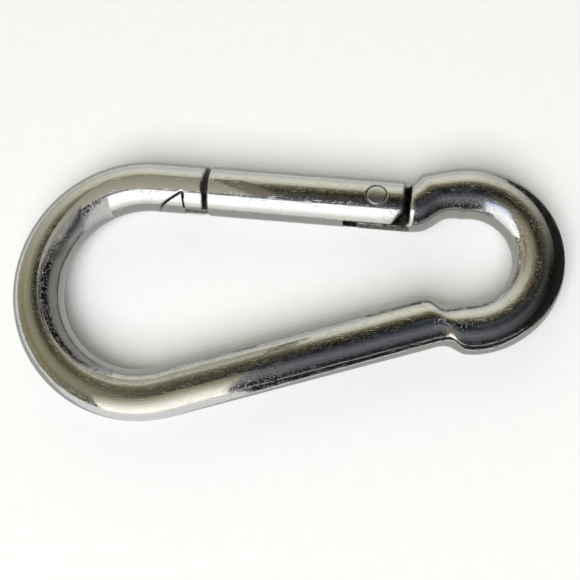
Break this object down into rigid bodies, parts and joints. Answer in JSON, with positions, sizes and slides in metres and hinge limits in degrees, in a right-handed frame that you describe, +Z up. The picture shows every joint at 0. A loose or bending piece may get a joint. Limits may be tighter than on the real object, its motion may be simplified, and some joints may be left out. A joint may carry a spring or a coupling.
{
  "type": "spring snap hook",
  "caption": "Pear-shaped snap hook bent from a round steel bar, with a wide bow, a small eye and a sprung gate that swings inwards.",
  "frame": {"origin": "under the middle of the hook, on the plane it lies on", "axes": "+X from the bow to the eye, +Y towards the gate, +Z up through the bar's thickness"},
  "size_m": [0.12, 0.0582, 0.011],
  "materials": {
    "plated_bar": "gloss",
    "plated_gate": "gloss",
    "plated_rivet": "satin",
    "spring_wire": "satin",
    "turned_plunger": "satin"
  },
  "bodies": {
    "hook": {"hook_body": "plated_bar"},
    "gate": {"gate": "plated_gate", "hinge_rivet": "plated_rivet", "gate_spring": "spring_wire"},
    "plunger": {"spring_plunger": "turned_plunger"}
  },
  "joints": [
    {"name": "gate_hinge", "type": "hinge", "parent": "hook", "child": "gate", "pos_m": [0.02168, 0.01472, 0.0055], "axis": [0, 0, 1], "range_deg": [0, 38], "stiffness_Nm_per_rad": 0.012, "springref_deg": -166.16, "deforming": ["gate_spring"]},
    {"name": "plunger_slide", "type": "slide", "parent": "gate", "child": "plunger", "axis": [-0.9839, 0.1788, 0], "range_m": [0, 0.00095]}
  ],
  "couplings": [
    {"joint": "plunger_slide", "follows": "gate_hinge", "m_per_rad": 0.0014}
  ]
}
